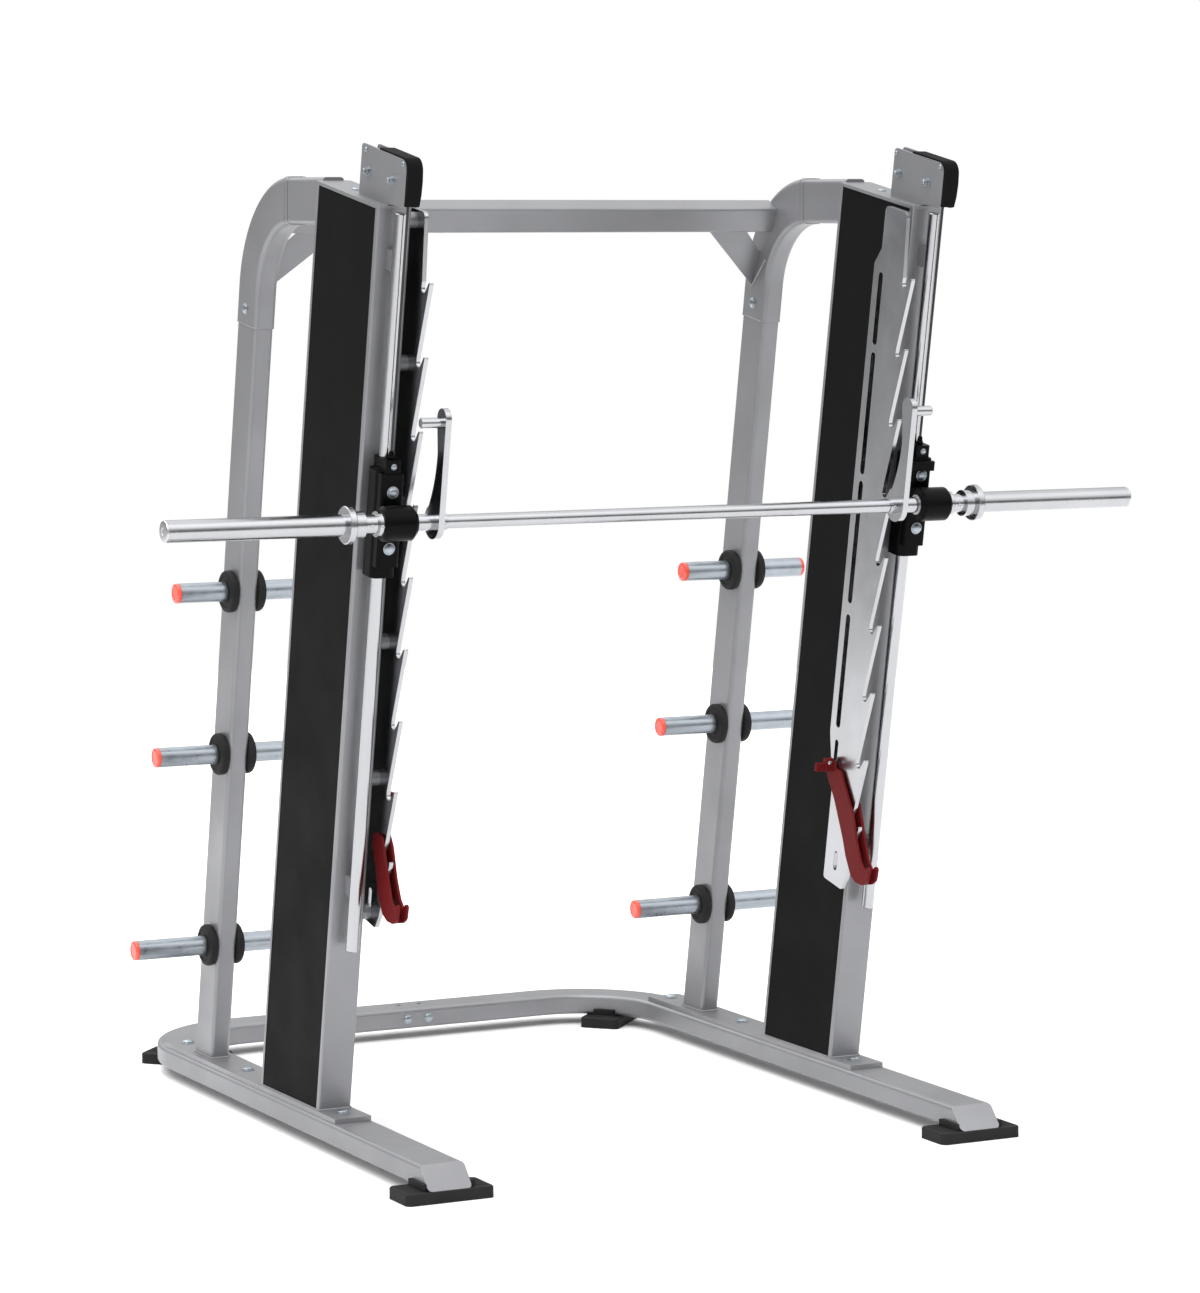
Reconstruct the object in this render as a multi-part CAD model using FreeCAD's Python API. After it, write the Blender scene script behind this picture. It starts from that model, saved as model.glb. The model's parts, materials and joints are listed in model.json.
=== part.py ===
import FreeCAD, Part
import math
import os

# Smith machine: a bar on two inclined guide rods, counterbalanced over pulleys,
# in a floor-standing frame.  Millimetres, +X right, +Y to the rear, +Z up,
# origin on the floor under the middle of the frame.

V = FreeCAD.Vector
X_AXIS = V(1, 0, 0)
Z_AXIS = V(0, 0, 1)

# ---- driving dimensions -------------------------------------------------
SIDE_X = 692.0            # centre plane of each side: runner, column, rod, upright
LEAN = 9.6                # columns, rods and uprights lean forward by this, degrees
FRONT_REACH = 650.0       # front of the front feet, ahead of the columns' foot line
REAR_REACH = 1222.0       # rear of the base, behind the same line
FOOT_Y = (FRONT_REACH - REAR_REACH) / 2
WALL = 3.0                # tube wall
FIT = 0.05                # radial clearance of shafts and pins in their holes

RUNNER = (108.0, 52.0)    # base tube, width and height
FOOT_H = 27.0             # rubber pads under the base
BASE_BEND_R = 266.0       # base tube's rear corners, centre line
NOSE_TOP_Y, NOSE_LOW_Y = -597.0, -645.0
BASE_PLATE = (92.0, 12.0, -120.0, 935.0)      # width, thickness, front, rear
BASE_BOLT_Y = (-60.0, 505.0, 893.0)
BASE_BOLT = (14.0, 9.0)   # head radius and height
PAD = (216.0, 106.0)      # rubber pads, length and width
PAD_TAB = (10.0, 38.0, 6.0, 16.0)             # thickness, half length, depth in pad, rise
PAD_TAB_ARC = 16.0        # the rear pads' tabs, degrees round the bend
SPLICE_L, SPLICE_WALL = 240.0, 4.0
SPLICE_BOLT_X = (22.0, 82.0)
SPLICE_BOLT_R, SPLICE_HOLE_R = 6.0, 6.5
SPLICE_HEAD = (11.0, 8.0)

COLUMN = (83.0, 339.0)    # width, depth
COLUMN_H = 2216.0         # up the lean, to the underside of the cap
CAP_T, CAP_LIP = 8.0, 1.5
CABLE_HOLE_R = 9.0
CAP_BOLT = (214.0, 12.0, 5.0)                 # place behind the front face, radius, height
CHANNEL_EDGE = 13.0       # depth of the folded edges beside the side panels
PANEL_T, PANEL_INSET = 2.0, 1.0

UPRIGHT = (50.0, 106.0)
UPRIGHT_P = 737.0         # centre of the rear uprights behind the columns' front face
ELBOW = (56.0, 112.0)
ELBOW_LOW_H = 1813.0
ELBOW_R = 246.0
STUB = (54.0, 108.0)
STUB_Z = 2203.0
BEAM = (53.7, 67.0, 27.0)                     # depth, height, tilt
BEAM_AT = (335.0, 2166.0)
GUSSET_T = 6.0
GUSSET_BEAM_X = (494.0, 602.0)
GUSSET_ELBOW = ((352.0, 2059.0), (422.0, 1991.0))
HORNS = ((261.0, 207.0), (751.0, 179.0), (1160.0, 150.0))   # height, reach
HORN_P, HORN_R, HORN_ROOT_R = 723.0, 24.0, 25.0
BUMPER = (51.0, 20.0)     # radius, thickness
HORN_CAP_T = 10.0

ROD_P, ROD_R = -36.0, 15.0
ROD_ENDS = (494.0, 2213.0)
ROD_MOUNT_H = (645.0, 2104.0)
ROD_MOUNT = (26.0, 46.0)  # width and height

RACK_X, RACK_T = 625.5, 10.0                  # centre plane and thickness
NOTCH_TOP, NOTCH_PITCH, NOTCHES = 2046.0, 168.5, 9
NOTCH_P, NOTCH_R = -46.0, 12.3
HOOK_TIP_P, HOOK_TIP_RISE, HOOK_TIP_DROP = -75.0, 24.0, 12.0
RACK_REAR_P, RACK_LOW_REAR_P = 99.0, 66.0
SLOTS = ((65.0, 10.0, 1878.0, 2054.0), (65.0, 10.0, 1561.0, 1860.0), (65.0, 10.0, 1241.0, 1545.0),
         (65.0, 10.0, 928.0, 1213.0), (63.0, 8.0, 815.0, 897.0), (17.0, 8.0, 578.0, 626.0))
STANDOFF_P, STANDOFF_R = 22.0, 18.0
STANDOFF_TOP, STANDOFF_PITCH, STANDOFFS = 2188.0, 324.2, 6

CHEEK_GAP, CHEEK_T = 26.0, 5.0                # pulley bracket's two cheeks
BRACKET = (-84.0, 142.0, 2224.0, 2337.0)      # front, rear, low and high edges
OUTER_CHEEK_REAR_P = 157.0
BRACKET_FRONT_R, BRACKET_REAR_R = 24.0, 9.0
PULLEY_P = (-18.0, 112.0)
PULLEY_H = 2283.5
THROUGH_BOLT = (-67.0, 2327.0)
REAR_BOLT = (133.0, 2328.0)
CHEEK_BOLT, AXLE_HEAD = (6.5, 4.5), (10.5, 15.0)
SPACER_R, THROUGH_R = 5.5, 4.0
GUARD = ((62, 2339.4), (-84.3, 2337.5, 24.3), (-84.3, 2236), (-87, 2235), (-94, 2262, 60), (-96, 2292, 40),
         (-92, 2341.5, 30), (62, 2343.4))
PULLEY_GROOVE_R = (45.0, 24.5)                # front and rear pulley
PULLEY_FLANGE, PULLEY_BOSS_R, PULLEY_W = 6.0, 16.0, 24.0
RIM_X, GROOVE_X = 9.0, 3.6                    # half widths of a pulley's rim and of its groove's floor
AXLE_R = 8.0
CABLE_R = 3.0
CABLE_BEND_R = [groove + CABLE_R + 0.3 for groove in PULLEY_GROOVE_R]
CABLE_FRONT_P = PULLEY_P[0] - CABLE_BEND_R[0]
CABLE_REAR_P = PULLEY_P[1] + CABLE_BEND_R[1]

BAR_P, BAR_H = -131.5, 1531.0
BAR_R, SLEEVE_R = 16.0, 25.0
SLEEVE_X = (826.0, 1250.0)
BAR_END = 1256.0
HUB_X, HUB_R, HUB_TAPER = (656.0, 739.0), 40.0, (10.0, 7.0)
SLEEVE_BLOCK = (60.0, 62.0, 1389.0, 1636.0)   # around the rod: width, depth, low, high
FRONT_BLOCK = (54.0, 44.0, 1418.0, 1632.0)
CABLE_BLOCK = (36.0, -86.0, -14.0, 1663.0)    # on top: width, front, rear, high
BLOCK_REAR_P, BLOCK_FRONT_P = -8.0, -88.0
BEARING_R, BEARING_L = 22.0, 58.0
BUSH_R, BUSH_L = 24.0, 24.0
CARRIAGE_BAR = (638.0, 719.0, -101.0, -87.0, 1604.0, 1627.0)
CARRIAGE_BOLTS = ((BLOCK_FRONT_P, 1591.0, 13.0, 9.0), (BLOCK_FRONT_P, 1462.0, 13.0, 9.0),
                  (CABLE_BLOCK[1], 1649.0, 6.0, 4.0))
SLEEVE_FLANGE, SLEEVE_RING = (43.0, 16.0), (31.0, 27.0)       # radius and thickness
BAR_COLLARS = ((22.0, 750.0, 783.0), (29.0, 739.3, 750.0), (19.0, 612.0, 655.7), (19.0, 579.0, 598.0))
LEVER_X = (598.0, 612.0)
PEG = (-145.6, 1761.4, 12.0, 663.0)           # place, height, radius, outer end

STOP_PLATE_T = 6.0
STOP_INNER_X, STOP_OUTER_X = 611.5, 633.5
STOP_PIN_H = NOTCH_TOP - (NOTCHES - 1) * NOTCH_PITCH
NOTCH_PIN_R, PIN_SEAT = 10.6, 3.0
LOCK_P, LOCK_H, LOCK_R = 63.0, 830.0, 6.0
LOCK_BAR = (45.0, 10.0, 20.0)                 # length, thickness, height
LOCK_EAR = (19.0, 18.0, 852.0)                # length, thickness, top
# Outlines of the stops in (place, height, corner radius).
STOP_CRADLE = ((-42, 632, 30), (-74, 592, 20), (-100, 583, 24), (-134, 586, 24), (-153, 602, 14),
               (-156, 634, 6), (-146, 637, 4), (-134, 622, 8), (-112, 638, 10))
STOP_INNER_OUTLINE = ((76, 800, 12), (34, 752, 60), (-20, 672, 60)) + STOP_CRADLE + (
    (-84, 680, 30), (-54, 745, 60), (-6, 800, 40), (18, 830, 12), (46, 830, 8), (52, 844, 6),
    (77, 844, 10), (86, 816, 10))
STOP_OUTER_OUTLINE = ((8, 742, 30), (-28, 672, 60)) + STOP_CRADLE + (
    (-88, 680, 30), (-56, 740, 30), (-42, 768, 12), (-2, 768, 14))
STOP_WEB = ((-76, 594), (-100, 584), (-132, 587), (-128, 595), (-102, 592), (-80, 602))

WEIGHT = (60.0, 250.0, 222.0)                 # width, depth, height
WEIGHT_TOP = 1400.0

COS, SIN = math.cos(math.radians(LEAN)), math.sin(math.radians(LEAN))
LEAN_PLACEMENT = FreeCAD.Placement(V(0, FOOT_Y, 0), FreeCAD.Rotation(X_AXIS, LEAN))
RUNNER_TOP = FOOT_H + RUNNER[1]
PLATE_TOP = RUNNER_TOP + BASE_PLATE[1]
REAR_BEAM_Y = REAR_REACH - RUNNER[0] / 2
FRONT_OF_REAR_BEAM = REAR_BEAM_Y - RUNNER[0] / 2 + FOOT_Y

os.makedirs("parts", exist_ok=True)


# ---- shared shapes ------------------------------------------------------
# Leaning parts are drawn upright as (x, p, h): p runs back from the columns'
# front face and h up the lean; lean() then tips them into place.
def lean(shape):
    tipped = shape.copy()
    tipped.Placement = LEAN_PLACEMENT.multiply(tipped.Placement)
    return tipped


def moved(shape, x=0.0, y=0.0, z=0.0):
    copy = shape.copy()
    copy.translate(V(x, y, z))
    return copy


def box(x0, x1, y0, y1, z0, z1):
    return Part.makeBox(x1 - x0, y1 - y0, z1 - z0, V(x0, y0, z0))


def rod_x(radius, x0, x1, y, z):
    return Part.makeCylinder(radius, x1 - x0, V(x0, y, z), X_AXIS)


def rounded_section(width, height, radius):
    """Face in the XY plane, centred, with round corners."""
    w, h, r = width / 2, height / 2, radius
    edges = []
    corners = ((0, w - r, h - r), (90, r - w, h - r), (180, r - w, r - h), (270, w - r, r - h))
    for angle, cx, cy in corners:
        edges.append(Part.makeCircle(r, V(cx, cy, 0), Z_AXIS, angle, angle + 90))
    wire = []
    for i, arc in enumerate(edges):
        after = edges[(i + 1) % 4]
        wire.append(arc)
        wire.append(Part.makeLine(arc.Vertexes[-1].Point, after.Vertexes[0].Point))
    return Part.Face(Part.Wire(wire))


def placed_section(width, height, radius, at, normal, side):
    """The section's width runs along side, its normal along the path."""
    face = rounded_section(width, height, radius)
    up = normal.cross(side)
    turn = FreeCAD.Rotation(side, up, normal, "ZXY")
    face.Placement = FreeCAD.Placement(at, turn)
    return face


def outline(points):
    """Face in the YZ plane at x = 0 from (y, z) points; a third value fillets that corner."""
    corners = [V(0, p[0], p[1]) for p in points]
    radii = [p[2] if len(p) > 2 else 0.0 for p in points]
    edges = []
    first = previous = None
    for i, corner in enumerate(corners):
        before = (corners[i - 1] - corner).normalize()
        after = (corners[(i + 1) % len(corners)] - corner).normalize()
        start = end = corner
        if radii[i]:
            half = before.getAngle(after) / 2
            reach = radii[i] / math.tan(half)
            start, end = corner + before * reach, corner + after * reach
            inward = (before + after).normalize()
            middle = corner + inward * (radii[i] / math.sin(half) - radii[i])
        if previous is None:
            first = start
        else:
            edges.append(Part.makeLine(previous, start))
        if radii[i]:
            edges.append(Part.Arc(start, middle, end).toShape())
        previous = end
    edges.append(Part.makeLine(previous, first))
    return Part.Face(Part.Wire(edges))


def plate(points, x0, x1):
    return moved(outline(points).extrude(V(x1 - x0, 0, 0)), x=x0)


def tube_along(path, size, radius, at, normal, side):
    """A tube's outside and its hollow, both swept along a wire."""
    outer = path.makePipe(placed_section(size[0], size[1], radius, at, normal, side))
    inner_size = (size[0] - 2 * WALL, size[1] - 2 * WALL)
    inner = path.makePipe(placed_section(inner_size[0], inner_size[1], radius - WALL, at, normal, side))
    return outer, inner


def upright_box(width, depth, radius, x, p, h0, h1):
    return moved(rounded_section(width, depth, radius), x=x, y=p, z=h0).extrude(V(0, 0, h1 - h0))


def ring_x(outer, inner, x0, x1, y, z):
    return rod_x(outer, x0, x1, y, z).cut(rod_x(inner, x0 - 1, x1 + 1, y, z))


def chamfered_disc_x(radius, x0, x1, y, z, edge):
    disc = rod_x(radius, x0, x1, y, z)
    rims = [e for e in disc.Edges if e.Closed]
    return disc.makeChamfer(edge, rims)


def bolt_head_x(radius, height, face_x, outward, y, z):
    """Round head standing on a face that looks along X."""
    x0, x1 = sorted((face_x, face_x + outward * height))
    return chamfered_disc_x(radius, x0, x1, y, z, height / 5)


def mirrored(shape):
    return shape.mirror(V(0, 0, 0), X_AXIS)


def above_plates(shape):
    """Cut a leaning part level where it stands on the base plates."""
    return shape.cut(box(-2000, 2000, -2000, 2000, -1000, PLATE_TOP))


def save(node, *solids):
    shape = solids[0] if len(solids) == 1 else Part.makeCompound(list(solids))
    for solid in shape.Solids:
        if not solid.isValid():
            raise ValueError(node + " has an invalid solid")
    shape.exportStep("parts/" + node + ".step")
    print("%-24s %2d solids %10.0f mm3" % (node, len(shape.Solids), shape.Volume))


def save_sides(node, right):
    save(node + "_right", right)
    save(node + "_left", mirrored(right))


def save_both(node, *right):
    """One node for a piece, or pieces, that repeat on both sides."""
    solids = [solid for shape in right for solid in shape.Solids]
    save(node, *solids, *[mirrored(solid) for solid in solids])


# ---- base ---------------------------------------------------------------
def nose_cutter(setback):
    """Everything ahead of the runner's slanted front end."""
    top, low = NOSE_TOP_Y + FOOT_Y + setback, NOSE_LOW_Y + FOOT_Y + setback
    slope = (top - low) / RUNNER[1]
    extra = 20.0
    return plate([(low - extra * slope, FOOT_H - extra), (low - 400, FOOT_H - extra),
                  (low - 400, RUNNER_TOP + extra), (top + extra * slope, RUNNER_TOP + extra)],
                 0, 2 * SIDE_X)


def base_runner():
    z = FOOT_H + RUNNER[1] / 2
    front = V(SIDE_X, NOSE_LOW_Y + FOOT_Y - 10, z)
    centre = V(SIDE_X - BASE_BEND_R, REAR_BEAM_Y + FOOT_Y - BASE_BEND_R, z)
    bend_start = centre + V(BASE_BEND_R, 0, 0)
    bend_end = centre + V(0, BASE_BEND_R, 0)
    diagonal = BASE_BEND_R * math.sqrt(0.5)
    bend = Part.Arc(bend_start, centre + V(diagonal, diagonal, 0), bend_end).toShape()
    middle = V(0, bend_end.y, z)
    path = Part.Wire([Part.makeLine(front, bend_start), bend, Part.makeLine(bend_end, middle)])
    outer, inner = tube_along(path, RUNNER, 10.0, front, V(0, 1, 0), X_AXIS)
    runner = outer.cut(nose_cutter(0)).cut(inner.cut(nose_cutter(2 * WALL)))
    return runner


def splice():
    """Square insert that joins the two halves inside the rear beam."""
    y, z = REAR_BEAM_Y + FOOT_Y, FOOT_H + RUNNER[1] / 2
    depth, height = RUNNER[0] - 2 * WALL - 0.2, RUNNER[1] - 2 * WALL - 0.2
    outer = box(-SPLICE_L / 2, SPLICE_L / 2, y - depth / 2, y + depth / 2, z - height / 2, z + height / 2)
    outer = outer.makeFillet(8.0, [e for e in outer.Edges if abs(e.tangentAt(0).x) > 0.9])
    depth, height = depth - 2 * SPLICE_WALL, height - 2 * SPLICE_WALL
    return outer.cut(box(-SPLICE_L, SPLICE_L, y - depth / 2, y + depth / 2, z - height / 2, z + height / 2))


def splice_drill():
    """Two bolt holes through the front wall and two open holes through the top wall."""
    z = FOOT_H + RUNNER[1] / 2
    holes = []
    for x in SPLICE_BOLT_X:
        bolt_at = V(x, FRONT_OF_REAR_BEAM - 5, z)
        open_at = V(x + 4, REAR_BEAM_Y + 12 + FOOT_Y, RUNNER_TOP - 12)
        holes.append(Part.makeCylinder(SPLICE_BOLT_R + FIT, 20, bolt_at, V(0, 1, 0)))
        holes.append(Part.makeCylinder(SPLICE_HOLE_R, 20, open_at, Z_AXIS))
    return Part.makeCompound(holes)


def splice_bolts():
    bolts = []
    for x in SPLICE_BOLT_X:
        at = V(x, FRONT_OF_REAR_BEAM, FOOT_H + RUNNER[1] / 2)
        radius, height = SPLICE_HEAD
        head = Part.makeCylinder(radius, height, at - V(0, height, 0), V(0, 1, 0))
        front_rim = [e for e in head.Edges if e.Closed and e.CenterOfMass.y < at.y - height + 1]
        head = head.makeChamfer(1.5, front_rim)
        bolts.append(head.fuse(Part.makeCylinder(SPLICE_BOLT_R, 14, at, V(0, 1, 0))).removeSplitter())
    return bolts


def pad_block():
    """Rubber block, centred, long along X."""
    block = upright_box(PAD[0], PAD[1], 14.0, 0, 0, 0, FOOT_H)
    return block.makeChamfer(3.0, [e for e in block.Edges if abs(e.CenterOfMass.z - FOOT_H) < 0.1])


def front_pad():
    """Under a runner's front end, with tabs that grip the tube's sides."""
    pad = pad_block()
    half = RUNNER[0] / 2
    thick, reach, sunk, rise = PAD_TAB
    for side in (-1, 1):
        x0, x1 = sorted((side * half, side * (half + thick)))
        pad = pad.fuse(box(x0, x1, -reach, reach, FOOT_H - sunk, FOOT_H + rise))
    return moved(pad.removeSplitter(), x=SIDE_X, y=FOOT_Y - FRONT_REACH + PAD[1] / 2)


def rear_pad():
    """Across the tube at the middle of the rear bend, its tabs curved with the bend."""
    pad = pad_block()
    pad.rotate(V(0, 0, 0), Z_AXIS, 45)
    thick, _, sunk, rise = PAD_TAB
    middle = BASE_BEND_R * math.sqrt(0.5)
    pad = moved(pad, x=middle, y=middle)
    half = RUNNER[0] / 2
    low = V(0, 0, FOOT_H - sunk)
    for inner in (BASE_BEND_R - half - thick, BASE_BEND_R + half):
        sector = Part.makeCylinder(inner + thick, sunk + rise, low, Z_AXIS, PAD_TAB_ARC)
        sector = sector.cut(Part.makeCylinder(inner, sunk + rise, low))
        sector.rotate(V(0, 0, 0), Z_AXIS, 45 - PAD_TAB_ARC / 2)
        pad = pad.fuse(sector)
    return moved(pad.removeSplitter(), x=SIDE_X - BASE_BEND_R, y=FOOT_Y + REAR_BEAM_Y - BASE_BEND_R)


def base_plate():
    width, _, front, rear = BASE_PLATE
    return box(SIDE_X - width / 2, SIDE_X + width / 2, front + FOOT_Y, rear + FOOT_Y, RUNNER_TOP, PLATE_TOP)


def base_plate_bolts():
    bolts = []
    for y in BASE_BOLT_Y:
        head = Part.makeCylinder(BASE_BOLT[0], BASE_BOLT[1], V(SIDE_X, y + FOOT_Y, PLATE_TOP))
        bolts.append(head.makeChamfer(2.0, [e for e in head.Edges if e.CenterOfMass.z > PLATE_TOP + 8]))
    return bolts


# ---- rear uprights, elbows and crossbeam --------------------------------
BEND_Z = STUB_Z - ELBOW_R
BEND_Y = (UPRIGHT_P - ELBOW_R - BEND_Z * SIN) / COS + FOOT_Y


def bend_point(radius, degrees):
    """Point on an arc about the elbow's bend centre, 0 degrees to the rear."""
    angle = math.radians(degrees)
    return V(SIDE_X, BEND_Y + radius * math.cos(angle), BEND_Z + radius * math.sin(angle))


def rear_upright():
    post = upright_box(UPRIGHT[0], UPRIGHT[1], 10.0, SIDE_X, UPRIGHT_P, -100, ELBOW_LOW_H + 80)
    core = upright_box(UPRIGHT[0] - 2 * WALL, UPRIGHT[1] - 2 * WALL, 7.0, SIDE_X, UPRIGHT_P, -200, 2000)
    return above_plates(lean(post.cut(core)))


def elbow():
    up_lean = V(0, -SIN, COS)
    bend_start = bend_point(ELBOW_R, LEAN)
    low = lean(Part.Vertex(SIDE_X, UPRIGHT_P, ELBOW_LOW_H)).Point
    bend = Part.Arc(bend_start, bend_point(ELBOW_R, (LEAN + 90) / 2), bend_point(ELBOW_R, 90)).toShape()
    path = Part.Wire([Part.makeLine(low, bend_start), bend])
    outer = path.makePipe(placed_section(ELBOW[0], ELBOW[1], 13.0, low, up_lean, X_AXIS))
    bore = path.makePipe(placed_section(UPRIGHT[0] + 0.6, UPRIGHT[1] + 0.6, 10.3, low, up_lean, X_AXIS))
    return outer.cut(bore)


def top_stub():
    """Level tube from the elbow to the column's rear face, closed where it meets it."""
    start = bend_point(ELBOW_R, 90)
    section = placed_section(STUB[0], STUB[1], 10.0, start, V(0, -1, 0), X_AXIS)
    core = placed_section(STUB[0] - 2 * WALL, STUB[1] - 2 * WALL, 7.0, start, V(0, -1, 0), X_AXIS)
    solid = section.extrude(V(0, -400, 0))
    rear = COLUMN[1] + CAP_LIP
    end_wall = solid.common(lean(box(0, 2 * SIDE_X, rear, rear + WALL, 1800, 2600)))
    stub = solid.cut(core.extrude(V(0, -400, 0))).fuse(end_wall)
    return stub.cut(lean(box(0, 2 * SIDE_X, -600, rear, 1800, 2600))).removeSplitter()


def elbow_bolts():
    at = lean(Part.Vertex(SIDE_X, UPRIGHT_P, ELBOW_LOW_H + 38)).Point
    return [bolt_head_x(12.0, 7.0, SIDE_X + side * ELBOW[0] / 2, side, at.y, at.z) for side in (-1, 1)]


def beam_bar(shrink, radius):
    """Solid bar along the crossbeam, its section smaller than the beam's by shrink."""
    end = SIDE_X - ELBOW[0] / 2
    face = rounded_section(BEAM[0] - shrink, BEAM[1] - shrink, radius)
    face.rotate(V(0, 0, 0), V(1, 1, 1), 120)
    face.rotate(V(0, 0, 0), X_AXIS, BEAM[2])
    return moved(face, x=-end, y=BEAM_AT[0] + FOOT_Y, z=BEAM_AT[1]).extrude(V(2 * end, 0, 0))


def crossbeam():
    return beam_bar(0, 7.0).cut(beam_bar(2 * WALL, 4.0))


def gusset():
    """Flat brace from the beam's underside out to the elbow's inner face."""
    tilt = math.radians(BEAM[2])
    under_y = BEAM_AT[0] + BEAM[1] / 2 * math.sin(tilt) + FOOT_Y
    under_z = BEAM_AT[1] - BEAM[1] / 2 * math.cos(tilt)
    inner = SIDE_X - ELBOW[0] / 2
    top_in, top_out = V(GUSSET_BEAM_X[0], under_y, under_z), V(GUSSET_BEAM_X[1], under_y, under_z)
    (upper_y, upper_z), (lower_y, lower_z) = GUSSET_ELBOW
    low_out = V(inner, upper_y + FOOT_Y, upper_z)
    low_in = V(inner, lower_y + FOOT_Y, lower_z)
    slope = (low_in - top_in).cross(X_AXIS).normalize()
    low_out = low_out - slope * (low_out - top_in).dot(slope)
    edge = Part.makePolygon([top_in, top_out, low_out, low_in, top_in])
    brace = Part.Face(edge).extrude(slope * GUSSET_T if slope.y > 0 else slope * -GUSSET_T)
    within = box(0, inner, -1000, 1000, 0, 3000)
    return brace.common(within).cut(beam_bar(0, 7.0))


def horn_pieces():
    """Storage horns on both faces of the upright, with bumper discs and end caps."""
    posts, bumpers, caps = [], [], []
    for height, reach in HORNS:
        for outward in (-1, 1):
            face = SIDE_X + outward * UPRIGHT[0] / 2
            tip = face + outward * reach
            inside_cap = tip - outward * HORN_CAP_T
            x0, x1 = sorted((face, inside_cap))
            b0, b1 = sorted((face, face + outward * BUMPER[1]))
            post = rod_x(HORN_R, x0, x1, HORN_P, height)
            posts.append(post.fuse(rod_x(HORN_ROOT_R, b0, b1, HORN_P, height)).removeSplitter())
            disc = rod_x(BUMPER[0], b0, b1, HORN_P, height)
            disc = disc.makeFillet(8.0, [e for e in disc.Edges if e.Closed])
            bumpers.append(disc.cut(rod_x(HORN_ROOT_R + FIT, b0 - 1, b1 + 1, HORN_P, height)))
            c0, c1 = sorted((inside_cap, tip))
            caps.append(chamfered_disc_x(HORN_R - 0.2, c0, c1, HORN_P, height, 2.0))
    return posts, bumpers, caps


# ---- front columns ------------------------------------------------------
def column_channel(front):
    """Folded channel that makes the column's front or rear edge."""
    width, depth = COLUMN
    shell = upright_box(width, depth, 5.0, SIDE_X, depth / 2, -100, COLUMN_H)
    core = upright_box(width - 2 * WALL, depth - 2 * WALL, 2.0, SIDE_X, depth / 2, -200, COLUMN_H + 100)
    p0, p1 = (-10, CHANNEL_EDGE) if front else (depth - CHANNEL_EDGE, depth + 10)
    keep = box(0, 2 * SIDE_X, p0, p1, -200, COLUMN_H + 100)
    return above_plates(lean(shell.cut(core).common(keep)))


def column_panel(outward):
    """Black sheet set between the two channels."""
    face = SIDE_X + outward * (COLUMN[0] / 2 - PANEL_INSET)
    x0, x1 = sorted((face, face - outward * PANEL_T))
    sheet = box(x0, x1, CHANNEL_EDGE, COLUMN[1] - CHANNEL_EDGE, -100, COLUMN_H)
    return above_plates(lean(sheet))


def cable_hole(h):
    """Cutter, before leaning, for the cable's way down into the column."""
    return Part.makeCylinder(CABLE_HOLE_R, 40, V(SIDE_X, CABLE_REAR_P, h - 20))


def column_cap():
    width, depth = COLUMN
    cap = upright_box(width + 2 * CAP_LIP, depth + 2 * CAP_LIP, 6.0,
                      SIDE_X, depth / 2, COLUMN_H, COLUMN_H + CAP_T)
    return lean(cap.cut(cable_hole(COLUMN_H)))


def cap_bolt():
    """Round-headed bolt that holds the cap down."""
    p, radius, height = CAP_BOLT
    bolt = Part.makeCylinder(radius, height, V(SIDE_X, p, COLUMN_H + CAP_T))
    top_rim = [e for e in bolt.Edges if e.Closed and e.CenterOfMass.z > COLUMN_H + CAP_T + height - 1]
    return lean(bolt.makeChamfer(1.5, top_rim))


# ---- guide rods and hook racks ------------------------------------------
def guide_rod():
    low, top = ROD_ENDS
    rod = Part.makeCylinder(ROD_R, top - low, V(SIDE_X, ROD_P, low))
    return lean(rod.makeChamfer(2.0, [e for e in rod.Edges if e.Closed]))


def rod_mounts():
    mounts = []
    for height in ROD_MOUNT_H:
        half, rise = ROD_MOUNT[0] / 2, ROD_MOUNT[1] / 2
        post = box(SIDE_X - half, SIDE_X + half, ROD_P, 0, height - rise, height + rise)
        clearance = Part.makeCylinder(ROD_R + FIT, 60, V(SIDE_X, ROD_P, height - 30))
        mounts.append(lean(post.cut(clearance)))
    return mounts


def rack_outline():
    """Notched front edge from the bottom up, then the rear edge down."""
    points = [(RACK_LOW_REAR_P, 545.0, 8), (-20, 540.0, 5)]
    for n in reversed(range(NOTCHES)):
        notch = NOTCH_TOP - n * NOTCH_PITCH
        if n == NOTCHES - 1:
            points.append((-37, 571.0, 8))
        points += [(HOOK_TIP_P, notch + HOOK_TIP_DROP, 3), (HOOK_TIP_P, notch + HOOK_TIP_RISE, 3)]
        points.append((NOTCH_P - 2, notch - NOTCH_R * 1.35, 11.0))
        points.append((NOTCH_P + NOTCH_R, notch - 4, NOTCH_R * 0.8))
        points.append((NOTCH_P + NOTCH_R - 2, notch + 12, 10))
    top = ROD_ENDS[1]
    points += [(-26, top, 14), (71, top, 14), (72, 2110, 20), (RACK_REAR_P, 2070, 20)]
    points += [(RACK_REAR_P, 910, 60), (RACK_LOW_REAR_P, 782, 60)]
    return points


def rack():
    x0, x1 = RACK_X - RACK_T / 2, RACK_X + RACK_T / 2
    bar = plate(rack_outline(), x0, x1)
    for p, radius, low, high in SLOTS:
        slot = box(x0 - 5, x1 + 5, p - radius, p + radius, low + radius, high - radius)
        for end in (low + radius, high - radius):
            slot = slot.fuse(rod_x(radius, x0 - 5, x1 + 5, p, end))
        bar = bar.cut(slot)
    return lean(bar)


def rack_standoffs():
    """Spacers that hold the rack off the column's side."""
    outer, column = RACK_X + RACK_T / 2, SIDE_X - COLUMN[0] / 2
    heights = [STANDOFF_TOP - n * STANDOFF_PITCH for n in range(STANDOFFS)]
    return [lean(rod_x(STANDOFF_R, outer, column, STANDOFF_P, height)) for height in heights]


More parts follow.
